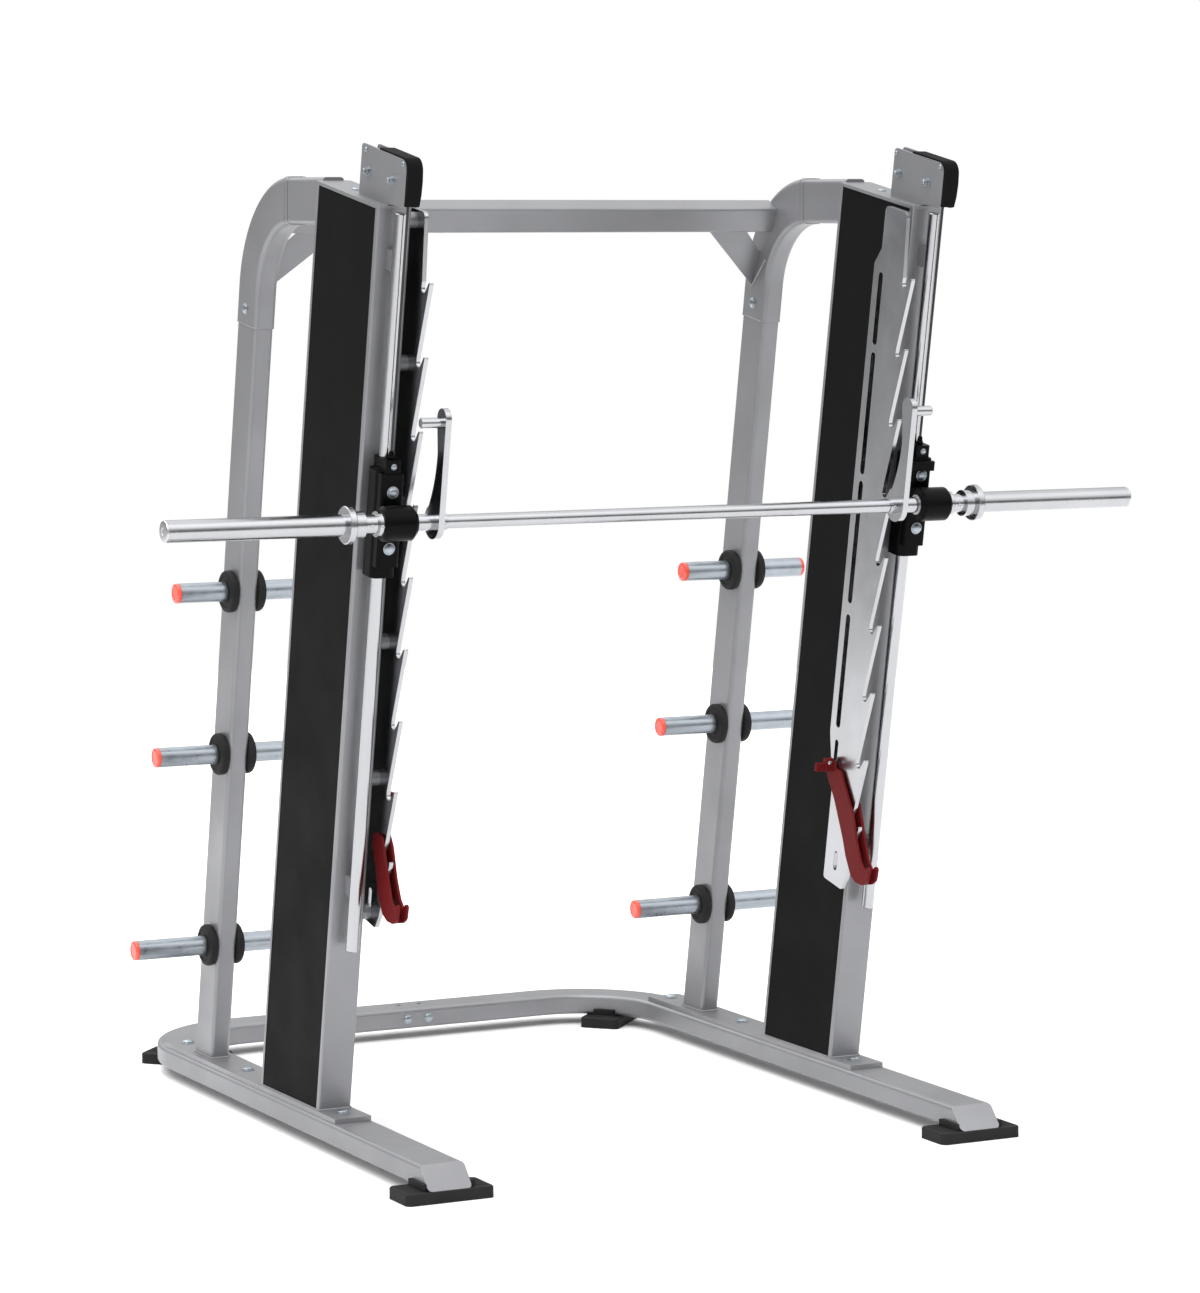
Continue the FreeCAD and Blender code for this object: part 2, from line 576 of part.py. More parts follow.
# ---- pulleys, their brackets and the cable ------------------------------
def cheek(rear, x0, x1):
    front, _, low, high = BRACKET
    return plate([(front, low + 8, 6), (2, low + 4), (2, low), (rear, low, 4),
                  (rear, high + 3, BRACKET_REAR_R), (front, high, BRACKET_FRONT_R)], x0, x1)


def pulley_bracket():
    """Two cheeks joined by a web that sits on the column's cap."""
    rear, low = BRACKET[1:3]
    half = CHEEK_GAP / 2
    bracket = box(SIDE_X - half, SIDE_X + half, 2, rear, low, low + WALL).cut(cable_hole(low))
    bracket = bracket.fuse([cheek(rear, SIDE_X - half - CHEEK_T, SIDE_X - half),
                            cheek(OUTER_CHEEK_REAR_P, SIDE_X + half, SIDE_X + half + CHEEK_T)])
    for p in PULLEY_P:
        bracket = bracket.cut(rod_x(AXLE_R + FIT, SIDE_X - CHEEK_GAP, SIDE_X + CHEEK_GAP, p, PULLEY_H))
    p, h = THROUGH_BOLT
    bracket = bracket.cut(rod_x(THROUGH_R + FIT, SIDE_X - CHEEK_GAP, SIDE_X + CHEEK_GAP, p, h))
    return lean(bracket.removeSplitter())


def bracket_fasteners():
    """Through bolt with its spacer at the front corner, and a small bolt at the rear corner."""
    gap, outer = CHEEK_GAP / 2, CHEEK_GAP / 2 + CHEEK_T
    radius, height = CHEEK_BOLT
    p, h = THROUGH_BOLT
    through = rod_x(THROUGH_R, SIDE_X - outer, SIDE_X + outer, p, h)
    through = through.fuse(rod_x(SPACER_R, SIDE_X - gap, SIDE_X + gap, p, h))
    for side in (-1, 1):
        through = through.fuse(bolt_head_x(radius, height, SIDE_X + side * outer, side, p, h))
    rear = [bolt_head_x(radius, height, SIDE_X + side * outer, side, *REAR_BOLT) for side in (-1, 1)]
    return [lean(solid) for solid in [through.removeSplitter()] + rear]


def pulley_axles():
    outer = CHEEK_GAP / 2 + CHEEK_T
    radius, height = AXLE_HEAD
    axles = []
    for p in PULLEY_P:
        axle = rod_x(AXLE_R, SIDE_X - outer, SIDE_X + outer, p, PULLEY_H)
        for side in (-1, 1):
            axle = axle.fuse(bolt_head_x(radius, height, SIDE_X + side * outer, side, p, PULLEY_H))
        axles.append(lean(axle.removeSplitter()))
    return axles


def pulley(p, groove):
    """Grooved wheel turned about its axle."""
    half = PULLEY_W / 2
    bore, boss, rim = AXLE_R + FIT, PULLEY_BOSS_R, groove + PULLEY_FLANGE
    profile = [(bore, -half), (boss, -half), (boss, -RIM_X), (rim, -RIM_X), (groove, -GROOVE_X),
               (groove, GROOVE_X), (rim, RIM_X), (boss, RIM_X), (boss, half), (bore, half)]
    corners = [V(x, radius, 0) for radius, x in profile]
    face = Part.Face(Part.makePolygon(corners + corners[:1]))
    wheel = face.revolve(V(0, 0, 0), X_AXIS, 360)
    return lean(moved(wheel, x=SIDE_X, y=p, z=PULLEY_H))


def pulley_guard():
    """Strip over the cheeks' top edges, round their corner and bulged down their front edges."""
    half = CHEEK_GAP / 2 + CHEEK_T
    return lean(plate(GUARD, SIDE_X - half, SIDE_X + half))


def cable_pieces():
    """Wire rope: over both pulleys, down to the carriage and down to the counterweight."""
    front, rear, low = CABLE_FRONT_P, CABLE_REAR_P, CABLE_BLOCK[3]
    slant = math.asin((CABLE_BEND_R[0] - CABLE_BEND_R[1]) / (PULLEY_P[1] - PULLEY_P[0]))
    leave = math.pi / 2 - slant

    def on_pulley(which, angle):
        radius = CABLE_BEND_R[which]
        return V(SIDE_X, PULLEY_P[which] + radius * math.cos(angle), PULLEY_H + radius * math.sin(angle))

    up = [on_pulley(0, angle) for angle in (math.pi, (math.pi + leave) / 2, leave)]
    down = [on_pulley(1, angle) for angle in (leave, leave / 2, 0)]
    route = Part.Wire([Part.Arc(*up).toShape(), Part.makeLine(up[2], down[0]), Part.Arc(*down).toShape()])
    section = Part.Face(Part.Wire(Part.makeCircle(CABLE_R, up[0], Z_AXIS)))
    over = lean(route.makePipe(section))
    front_run = lean(Part.makeCylinder(CABLE_R, PULLEY_H - low, V(SIDE_X, front, low)))
    weight_run = lean(Part.makeCylinder(CABLE_R, PULLEY_H - WEIGHT_TOP, V(SIDE_X, rear, WEIGHT_TOP)))
    print("cable length of one side", round(route.Length + 2 * PULLEY_H - low - WEIGHT_TOP))
    return over, front_run, weight_run


def counterweight():
    width, depth, height = WEIGHT
    block = upright_box(width, depth, 6.0, SIDE_X, CABLE_REAR_P, WEIGHT_TOP - height, WEIGHT_TOP)
    return lean(block)


# ---- carriages ----------------------------------------------------------
def carriage_housing():
    """Bearing block around the rod, front block, cable block and the hub that carries the bar."""
    width, depth, low, high = SLEEVE_BLOCK
    sleeve = upright_box(width, depth, 16.0, SIDE_X, BLOCK_REAR_P - depth / 2, low, high)
    width, depth, front_low, front_high = FRONT_BLOCK
    front = upright_box(width, depth, 8.0, SIDE_X, BLOCK_FRONT_P + depth / 2, front_low, front_high)
    hub = rod_x(HUB_R, HUB_X[0], HUB_X[1], BAR_P, BAR_H)
    for x, taper in zip(HUB_X, HUB_TAPER):
        hub = hub.makeChamfer(taper, [e for e in hub.Edges if e.Closed and abs(e.CenterOfMass.x - x) < 0.1])
    neck = box(SIDE_X - 24, SIDE_X + 24, BAR_P, BLOCK_FRONT_P + 10, BAR_H - 30, BAR_H + 30)
    housing = sleeve.fuse([front, neck, hub]).removeSplitter()
    bore = Part.makeCylinder(BEARING_R + 0.02, high - low + 100, V(SIDE_X, ROD_P, low - 50))
    journal = rod_x(BUSH_R + 0.02, HUB_X[0] - 5, HUB_X[1] + 5, BAR_P, BAR_H)
    housing = housing.cut(bore).cut(journal)
    width, cable_front, cable_rear, top = CABLE_BLOCK
    block = box(SIDE_X - width / 2, SIDE_X + width / 2, cable_front, cable_rear, high, top)
    block = block.makeFillet(4.0, [e for e in block.Edges if abs(e.tangentAt(0).z) > 0.9])
    block = block.cut(Part.makeCylinder(ROD_R + 1, 200, V(SIDE_X, ROD_P, high - 50)))
    foot = box(SIDE_X - width / 2, SIDE_X + width / 2, cable_front + 2, ROD_P - BEARING_R,
               front_high - 1, high)
    return lean(housing.fuse([block, foot]).removeSplitter())


def carriage_bar():
    """Flat bar across the right front block, reaching towards the rack."""
    x0, x1, front, rear, low, high = CARRIAGE_BAR
    bar = box(x0, x1, front, rear, low, high)
    return lean(bar.makeFillet(2.0, [e for e in bar.Edges if e.CenterOfMass.y < front + 0.1]))


def linear_bearings():
    low, high = SLEEVE_BLOCK[2:]
    rings = []
    for start in (low, high - BEARING_L):
        ring = Part.makeCylinder(BEARING_R, BEARING_L, V(SIDE_X, ROD_P, start))
        rings.append(lean(ring.cut(Part.makeCylinder(ROD_R + FIT, 200, V(SIDE_X, ROD_P, start - 50)))))
    return rings


def bar_bearings():
    starts = (HUB_X[0], HUB_X[1] - BUSH_L)
    return [lean(ring_x(BUSH_R, BAR_R + FIT, x, x + BUSH_L, BAR_P, BAR_H)) for x in starts]


def carriage_bolts():
    bolts = []
    for front, height, radius, head in CARRIAGE_BOLTS:
        bolt = Part.makeCylinder(radius, head, V(SIDE_X, front - head, height), V(0, 1, 0))
        front_rim = [e for e in bolt.Edges if e.Closed and e.CenterOfMass.y < front - head + 1]
        bolts.append(lean(bolt.makeChamfer(head / 5, front_rim)))
    return bolts


# ---- bar ----------------------------------------------------------------
def bar_shaft():
    end = BAR_END - 6
    return lean(rod_x(BAR_R, -end, end, BAR_P, BAR_H))


def bar_sleeve():
    return lean(ring_x(SLEEVE_R, BAR_R + FIT, SLEEVE_X[0], SLEEVE_X[1], BAR_P, BAR_H))


def sleeve_cap():
    return lean(chamfered_disc_x(SLEEVE_R, SLEEVE_X[1], BAR_END, BAR_P, BAR_H, 1.5))


def sleeve_collar():
    """Plate flange with the smaller ring behind it."""
    outer = SLEEVE_X[0]
    middle = outer - SLEEVE_FLANGE[1]
    inner = middle - SLEEVE_RING[1]
    flange = chamfered_disc_x(SLEEVE_FLANGE[0], middle, outer, BAR_P, BAR_H, 2.0)
    ring = rod_x(SLEEVE_RING[0], inner, middle, BAR_P, BAR_H)
    hole = rod_x(BAR_R + FIT, inner - 5, outer + 5, BAR_P, BAR_H)
    return lean(flange.fuse(ring).cut(hole).removeSplitter())


def bar_collars():
    return [lean(ring_x(radius, BAR_R + FIT, x0, x1, BAR_P, BAR_H)) for radius, x0, x1 in BAR_COLLARS]


def hook_lever():
    """Arm clamped on the bar: straight front edge, waisted rear edge, round ends."""
    front, hub = -170.0, 38.5
    top_r, top_h = 23.5, PEG[1] + 9
    x0, x1 = LEVER_X
    waist = Part.Arc(V(x0, -138, 1690), V(x0, -122, 1592), V(x0, BAR_P + hub, BAR_H)).toShape()
    sides = Part.makePolygon([V(x0, BAR_P + hub, BAR_H), V(x0, front, BAR_H), V(x0, front, top_h),
                              V(x0, front + 2 * top_r, top_h), V(x0, -138, 1690)])
    arm = Part.Face(Part.Wire(sides.Edges + [waist])).extrude(V(x1 - x0, 0, 0))
    arm = arm.fuse([rod_x(hub, x0, x1, BAR_P, BAR_H), rod_x(top_r, x0, x1, front + top_r, top_h)])
    arm = arm.removeSplitter().cut(rod_x(BAR_R + FIT, x0 - 1, x1 + 1, BAR_P, BAR_H))
    return lean(arm)


def hook_peg():
    p, height, radius, end = PEG
    peg = rod_x(radius, LEVER_X[1], end, p, height)
    return lean(peg.makeChamfer(2.0, [e for e in peg.Edges if e.Closed and e.CenterOfMass.x > end - 1]))


# ---- safety stops -------------------------------------------------------
def notch_pin(radius):
    """Blind between the two plates: each end is sunk into its plate."""
    outer = STOP_OUTER_X + STOP_PLATE_T
    return rod_x(radius, STOP_INNER_X + PIN_SEAT, outer - PIN_SEAT, NOTCH_P, STOP_PIN_H)


def stop_plates():
    """Two plates astride the rack, joined by a web along the bottom of the cradle."""
    web = plate(STOP_WEB, STOP_INNER_X + STOP_PLATE_T - 0.5, STOP_OUTER_X + 0.5)
    plates = [plate(STOP_INNER_OUTLINE, STOP_INNER_X, STOP_INNER_X + STOP_PLATE_T),
              plate(STOP_OUTER_OUTLINE, STOP_OUTER_X, STOP_OUTER_X + STOP_PLATE_T)]
    body = web.fuse(plates).cut(notch_pin(NOTCH_PIN_R + FIT))
    lock_hole = rod_x(LOCK_R + FIT, STOP_INNER_X - 5, STOP_OUTER_X + 20, LOCK_P, LOCK_H)
    return lean(body.cut(lock_hole).removeSplitter())


def stop_pin():
    return lean(notch_pin(NOTCH_PIN_R))


def stop_handle():
    """Locking pin through the rack's slot, with a flat grip on its inner end."""
    length, thick, height = LOCK_BAR
    inner, outer = STOP_INNER_X - 0.3, STOP_OUTER_X
    pin = rod_x(LOCK_R, inner - 10, outer, LOCK_P, LOCK_H)
    grip = box(inner - length, inner, LOCK_P - thick / 2, LOCK_P + thick / 2,
               LOCK_H - height / 2, LOCK_H + height / 2)
    end_rim = [e for e in grip.Edges if e.CenterOfMass.x < inner - length + 0.1]
    grip = grip.makeFillet(3.0, end_rim)
    ear_length, ear_t, ear_top = LOCK_EAR
    ear = box(inner - ear_length, inner, LOCK_P - ear_t / 2, LOCK_P + ear_t / 2,
              LOCK_H - height / 2, ear_top)
    ear = ear.makeFillet(6.0, [e for e in ear.Edges
                               if e.CenterOfMass.z > ear_top - 1 and abs(e.tangentAt(0).x) > 0.9])
    return lean(pin.fuse([grip, ear]).removeSplitter())


# ---- build --------------------------------------------------------------
right_runner = base_runner()
save("base_runner_right", right_runner.cut(splice_drill()))
save("base_runner_left", mirrored(right_runner))
save("base_splice", splice().cut(splice_drill()))
save_both("base_feet", front_pad(), rear_pad())
save_both("base_plates", base_plate())
side_bolts = base_plate_bolts() + elbow_bolts() + [cap_bolt()]
save("frame_bolts", *splice_bolts(), *side_bolts, *[mirrored(bolt) for bolt in side_bolts])
save_sides("rear_upright", rear_upright())
save_sides("elbow", elbow())
save_both("top_stubs", top_stub())
save("crossbeam", crossbeam())
save_both("gussets", gusset())
horn_posts, horn_bumpers, horn_caps = horn_pieces()
save_both("horn_posts", *[lean(shape) for shape in horn_posts])
save_both("horn_bumpers", *[lean(shape) for shape in horn_bumpers])
save_both("horn_caps", *[lean(shape) for shape in horn_caps])

save_both("column_front_channels", column_channel(front=True))
save_both("column_rear_channels", column_channel(front=False))
save_sides("column_outer_panel", column_panel(1))
save_both("column_inner_panels", column_panel(-1))
save_both("column_caps", column_cap())
save_both("guide_rods", guide_rod())
save_both("rod_mounts", *rod_mounts())
save_sides("rack", rack())
save_both("rack_standoffs", *rack_standoffs())

save_both("pulley_brackets", pulley_bracket())
save_both("bracket_fasteners", *bracket_fasteners())
save_both("pulley_axles", *pulley_axles())
save_both("pulley_guards", pulley_guard())
save_sides("front_pulley", pulley(PULLEY_P[0], PULLEY_GROOVE_R[0]))
save_sides("rear_pulley", pulley(PULLEY_P[1], PULLEY_GROOVE_R[1]))
cable_over, cable_down, cable_to_weight = cable_pieces()
save_both("cable_over_pulleys", cable_over)
save_both("cable_front_runs", cable_down)
save_both("cable_weight_runs", cable_to_weight)
save_both("counterweights", counterweight())

right_housing = carriage_housing()
save("carriage_housing_left", mirrored(right_housing))
save("carriage_housing_right", right_housing.fuse(carriage_bar()).removeSplitter())
save_both("linear_bearings", *linear_bearings())
save_both("bar_bearings", *bar_bearings())
save_both("carriage_bolts", *carriage_bolts())

save("bar_shaft", bar_shaft())
save_both("bar_sleeves", bar_sleeve())
save_both("sleeve_caps", sleeve_cap())
save_both("sleeve_collars", sleeve_collar())
save_both("bar_collars", *bar_collars())
save_sides("hook_lever", hook_lever())
save_both("hook_pegs", hook_peg())

save_sides("stop_plates", stop_plates())
save_sides("stop_pin", stop_pin())
save_sides("stop_handle", stop_handle())
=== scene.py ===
import json
import math

import bmesh
import bpy
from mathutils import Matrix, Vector


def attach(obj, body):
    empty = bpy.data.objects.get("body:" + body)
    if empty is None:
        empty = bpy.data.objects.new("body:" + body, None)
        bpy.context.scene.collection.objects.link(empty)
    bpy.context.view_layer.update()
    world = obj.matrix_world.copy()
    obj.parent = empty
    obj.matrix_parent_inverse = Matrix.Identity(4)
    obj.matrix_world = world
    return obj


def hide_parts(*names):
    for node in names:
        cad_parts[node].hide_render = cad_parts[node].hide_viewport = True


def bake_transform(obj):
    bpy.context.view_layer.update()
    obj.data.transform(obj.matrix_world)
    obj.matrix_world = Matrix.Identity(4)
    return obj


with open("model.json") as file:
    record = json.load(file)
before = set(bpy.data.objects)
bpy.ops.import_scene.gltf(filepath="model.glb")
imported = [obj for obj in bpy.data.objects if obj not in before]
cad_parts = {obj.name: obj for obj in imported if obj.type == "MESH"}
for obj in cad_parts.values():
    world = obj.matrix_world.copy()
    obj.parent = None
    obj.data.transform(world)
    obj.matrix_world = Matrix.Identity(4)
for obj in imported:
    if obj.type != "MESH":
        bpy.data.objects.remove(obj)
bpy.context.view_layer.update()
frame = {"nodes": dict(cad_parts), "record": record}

# ---- places, in millimetres as in the part's source ----------------------
LEAN = math.radians(9.6)          # columns, rods and uprights lean forward
FOOT_Y = -286.0
UP = Vector((0, -math.sin(LEAN), math.cos(LEAN)))
BACK = Vector((0, math.cos(LEAN), math.sin(LEAN)))
X, Y, Z = Vector((1, 0, 0)), Vector((0, 1, 0)), Vector((0, 0, 1))
SIDE_X = 692.0
BAR_P, BAR_H = -131.5, 1531.0
PULLEY_P, PULLEY_H, CABLE_BEND_R, CABLE_R = (-18.0, 112.0), 2283.5, (48.3, 27.8), 3.0
PLATE_TOP = 91.0                  # top of the base plates
BRACKET_HALF = 18.0               # half the width over the pulley brackets' cheeks
THROUGH_BOLT, REAR_BOLT = (-67.0, 2327.0), (133.0, 2328.0)
SPLICE_BOLT_X, SPLICE_BOLT_Y, SPLICE_BOLT_Z = (22.0, 82.0), 828.0, 53.0
BASE_BOLT_Y = (-60.0, 505.0, 893.0)
UPRIGHT_P, ELBOW_BOLT_H, ELBOW_HALF = 737.0, 1851.0, 28.0
CAP_BOLT = (214.0, 2224.0)
CARRIAGE_BOLTS = ((-88.0, 1591.0, 12.0, 9.0), (-88.0, 1462.0, 12.0, 9.0), (-86.0, 1649.0, 6.0, 4.0))
HORN_P, HORN_CAP_T = 723.0, 10
HORNS = ((261.0, 207.0), (751.0, 179.0), (1160.0, 150.0))     # height, reach
CABLE_LOW, WEIGHT_TOP = 1663.0, 1400.0
BASE_BEND_R = 266.0
FOOT_TOP = 27.0
BAR_SCREWS = ((766.5, 22.0), (744.6, 29.0), (588.5, 19.0))    # place along the bar, collar radius
SLEEVE_END = 1250.0

# ---- turned outlines: (place along the axis, radius[, True for a hexagon]) ----
AXLE_ROD = [(-18.2, 0), (-18.2, 8), (18.2, 8), (18.2, 0)]
AXLE_END = [(0, 0), (0, 10.3), (1.8, 10.5), (2.2, 9.0), (7.5, 8.8), (8.0, 6.0), (13.6, 6.0),
            (15, 4.8), (15, 0)]
SPACER = [(-18, 0), (-18, 3.9), (-12.9, 3.9), (-12.9, 5.5), (12.9, 5.5), (12.9, 3.9), (18, 3.9),
          (18, 0)]
BUMPER = [(0, 25.1), (0, 46), (1.5, 49), (5, 51), (14, 51), (18, 49), (20, 45.5), (20, 39), (18.6, 38),
          (18.6, 30), (20, 29), (20, 25.1)]
HORN_CAP = [(0, 0), (0, 23.2), (0.8, 23.9), (6, 24), (8.6, 22.8), (9.8, 20), (10, 16), (9.0, 14.6),
            (8.6, 0)]
FERRULE = [(0, 0), (0, 7.4), (2, 8), (7, 8), (8, 6.4), (17, 5.4), (20, 3.2), (20, 0)]
SET_SCREW = [(0, 0), (0, 4.4), (2.4, 4.4), (2.9, 3.8), (2.9, 2.2, True), (0.6, 2.1, True), (0.6, 0)]
SLEEVE_CAP = [(0, 0), (0, 24.4), (3.5, 24.6), (5.2, 23.6), (6, 21), (6, 9), (5, 8.4), (5, 0)]


def flat(x, y, z):
    """A point in the row frame, in metres."""
    return Vector((x, y, z)) / 1000


def leaning(x, p, h):
    """A point p behind the columns' front face and h up the lean, in metres."""
    return (Vector((x, FOOT_Y, 0)) + BACK * p + UP * h) / 1000


# ---- material graphs ----------------------------------------------------
class Graph:
    """A material with a Principled shader and short helpers for its nodes."""

    def __init__(self, name, metallic=0.0, roughness=0.5, **inputs):
        self.material = bpy.data.materials.new(name)
        self.material.use_nodes = True
        self.tree = self.material.node_tree
        self.tree.nodes.clear()
        self.shader = self.add("ShaderNodeBsdfPrincipled")
        output = self.add("ShaderNodeOutputMaterial")
        self.link(self.shader.outputs["BSDF"], output.inputs["Surface"])
        self.shader.inputs["Metallic"].default_value = metallic
        self.shader.inputs["Roughness"].default_value = roughness
        for label, value in inputs.items():
            self.shader.inputs[label.replace("_", " ")].default_value = value

    def add(self, kind):
        return self.tree.nodes.new(kind)

    def link(self, source, target):
        self.tree.links.new(source, target)

    def place(self, scale=(1, 1, 1), turn=(0, 0, 0)):
        """Object coordinates, in metres, turned and then stretched."""
        coordinates = self.add("ShaderNodeTexCoord")
        mapping = self.add("ShaderNodeMapping")
        mapping.inputs["Scale"].default_value = scale
        mapping.inputs["Rotation"].default_value = turn
        self.link(coordinates.outputs["Object"], mapping.inputs["Vector"])
        return mapping.outputs["Vector"]

    def noise(self, scale, detail=4.0, roughness=0.55, place=None):
        node = self.add("ShaderNodeTexNoise")
        node.inputs["Scale"].default_value = scale
        node.inputs["Detail"].default_value = detail
        node.inputs["Roughness"].default_value = roughness
        self.link(place if place else self.place(), node.inputs["Vector"])
        return node.outputs["Fac"]

    def cells(self, scale, feature="F1", place=None):
        node = self.add("ShaderNodeTexVoronoi")
        node.feature = feature
        node.inputs["Scale"].default_value = scale
        self.link(place if place else self.place(), node.inputs["Vector"])
        return node.outputs["Distance"]

    def ramp(self, value, *stops):
        """Colour ramp from (position, colour) stops."""
        node = self.add("ShaderNodeValToRGB")
        elements = node.color_ramp.elements
        while len(elements) < len(stops):
            elements.new(0.5)
        for element, (position, colour) in zip(elements, stops):
            element.position = position
            element.color = (*colour, 1.0)
        self.link(value, node.inputs["Fac"])
        return node.outputs["Color"]

    def blend(self, kind, first, second, amount):
        node = self.add("ShaderNodeMix")
        node.data_type = "RGBA"
        node.blend_type = kind
        self.link(first, node.inputs[6])
        self.link(second, node.inputs[7])
        if isinstance(amount, float):
            node.inputs[0].default_value = amount
        else:
            self.link(amount, node.inputs[0])
        return node.outputs[2]

    def spread(self, value, low, high, out_low, out_high):
        node = self.add("ShaderNodeMapRange")
        for socket, number in zip(list(node.inputs)[1:5], (low, high, out_low, out_high)):
            socket.default_value = number
        self.link(value, node.inputs[0])
        return node.outputs[0]

    def math(self, operation, first, second):
        node = self.add("ShaderNodeMath")
        node.operation = operation
        for socket, value in zip(node.inputs, (first, second)):
            if isinstance(value, (int, float)):
                socket.default_value = value
            else:
                self.link(value, socket)
        return node.outputs[0]

    def edges(self, radius):
        """1 on outside edges within the radius, 0 on flat faces."""
        bevel = self.add("ShaderNodeBevel")
        bevel.samples = 4
        bevel.inputs["Radius"].default_value = radius
        geometry = self.add("ShaderNodeNewGeometry")
        dot = self.add("ShaderNodeVectorMath")
        dot.operation = "DOT_PRODUCT"
        self.link(bevel.outputs["Normal"], dot.inputs[0])
        self.link(geometry.outputs["Normal"], dot.inputs[1])
        return self.spread(dot.outputs["Value"], 0.995, 0.90, 0.0, 1.0)

    def bump(self, height, strength, distance, round_edges=0.0):
        node = self.add("ShaderNodeBump")
        node.inputs["Strength"].default_value = strength
        node.inputs["Distance"].default_value = distance
        self.link(height, node.inputs["Height"])
        if round_edges:
            bevel = self.add("ShaderNodeBevel")
            bevel.samples = 4
            bevel.inputs["Radius"].default_value = round_edges
            self.link(bevel.outputs["Normal"], node.inputs["Normal"])
        self.link(node.outputs["Normal"], self.shader.inputs["Normal"])

    def colour(self, socket):
        self.link(socket, self.shader.inputs["Base Color"])

    def roughness(self, socket):
        self.link(socket, self.shader.inputs["Roughness"])


def shade(colour, factor):
    return tuple(min(1.0, channel * factor) for channel in colour)


def powder_coat(name, colour, metallic=0.0, roughness=0.4, worn=None, **inputs):
    """Sprayed and baked paint: orange peel, faint mottling, grain and rubbed edges."""
    g = Graph(name, metallic, roughness, **inputs)
    mottle = g.noise(2.4, 5.0)
    grain = g.noise(900.0, 2.0)
    base = g.ramp(mottle, (0.32, shade(colour, 0.93)), (0.68, shade(colour, 1.07)))
    speck = g.ramp(grain, (0.35, (0.90, 0.90, 0.90)), (0.65, (1.0, 1.0, 1.0)))
    base = g.blend("MULTIPLY", base, speck, 0.6)
    if worn:
        rub = g.math("MULTIPLY", g.edges(0.0016), g.spread(g.noise(26.0, 6.0), 0.52, 0.70, 0.0, 0.8))
        patch = g.ramp(grain, (0.3, shade(worn, 0.85)), (0.7, worn))
        base = g.blend("MIX", base, patch, rub)
    g.colour(base)
    g.roughness(g.spread(g.noise(7.0, 5.0), 0.3, 0.7, roughness - 0.06, roughness + 0.08))
    peel = g.math("ADD", g.noise(260.0, 2.0), g.math("MULTIPLY", grain, 0.5))
    g.bump(peel, 0.12, 0.0005, round_edges=0.0012)
    return g.material


def polished(name, colour, roughness=0.08, along=(1, 1, 1), turn=(0, 0, 0), round_edges=0.0008):
    """Chrome plate with faint draw lines along one direction and handling smudges."""
    g = Graph(name, 1.0, roughness)
    lines = g.noise(160.0, 3.0, place=g.place(along, turn))
    smudge = g.noise(9.0, 6.0, 0.6)
    g.colour(g.ramp(smudge, (0.35, shade(colour, 0.93)), (0.65, colour)))
    haze = g.spread(smudge, 0.35, 0.75, roughness, roughness + 0.10)
    g.roughness(g.math("ADD", haze, g.spread(lines, 0.4, 0.6, 0.0, 0.04)))
    g.bump(lines, 0.04, 0.0003, round_edges)
    return g.material


def plated(name, colour, roughness=0.32):
    """Zinc or nickel plate: fine spangle, uneven sheen, darker in its pores."""
    g = Graph(name, 0.9, roughness)
    spangle = g.cells(420.0)
    cloud = g.noise(34.0, 6.0)
    base = g.ramp(cloud, (0.3, shade(colour, 0.86)), (0.7, shade(colour, 1.08)))
    speck = g.ramp(spangle, (0.1, (0.92, 0.93, 0.95)), (0.6, (1.0, 1.0, 1.0)))
    g.colour(g.blend("MULTIPLY", base, speck, 0.7))
    g.roughness(g.spread(cloud, 0.3, 0.7, roughness - 0.08, roughness + 0.10))
    g.bump(g.noise(700.0, 3.0), 0.10, 0.0003, round_edges=0.0006)
    return g.material


def moulded(name, colour, roughness=0.55, grain=620.0, depth=0.25, **inputs):
    """Rubber or moulded plastic: leathery grain, dusty and rubbed patches."""
    g = Graph(name, 0.0, roughness, **inputs)
    dust = g.noise(12.0, 6.0, 0.6)
    g.colour(g.ramp(dust, (0.38, colour), (0.78, tuple(c * 1.5 + 0.006 for c in colour))))
    g.roughness(g.spread(dust, 0.3, 0.75, roughness - 0.05, roughness + 0.14))
    pores = g.math("ADD", g.cells(grain), g.noise(grain * 1.7, 2.0))
    g.bump(pores, depth, 0.0004, round_edges=0.0012)
    return g.material


def cast(name, colour):
    g = Graph(name, 0.3, 0.6)
    rough = g.noise(240.0, 6.0)
    g.colour(g.ramp(g.noise(18.0, 5.0), (0.3, shade(colour, 0.8)), (0.7, shade(colour, 1.2))))
    g.roughness(g.spread(rough, 0.3, 0.7, 0.5, 0.75))
    g.bump(rough, 0.5, 0.0008, round_edges=0.002)
    return g.material


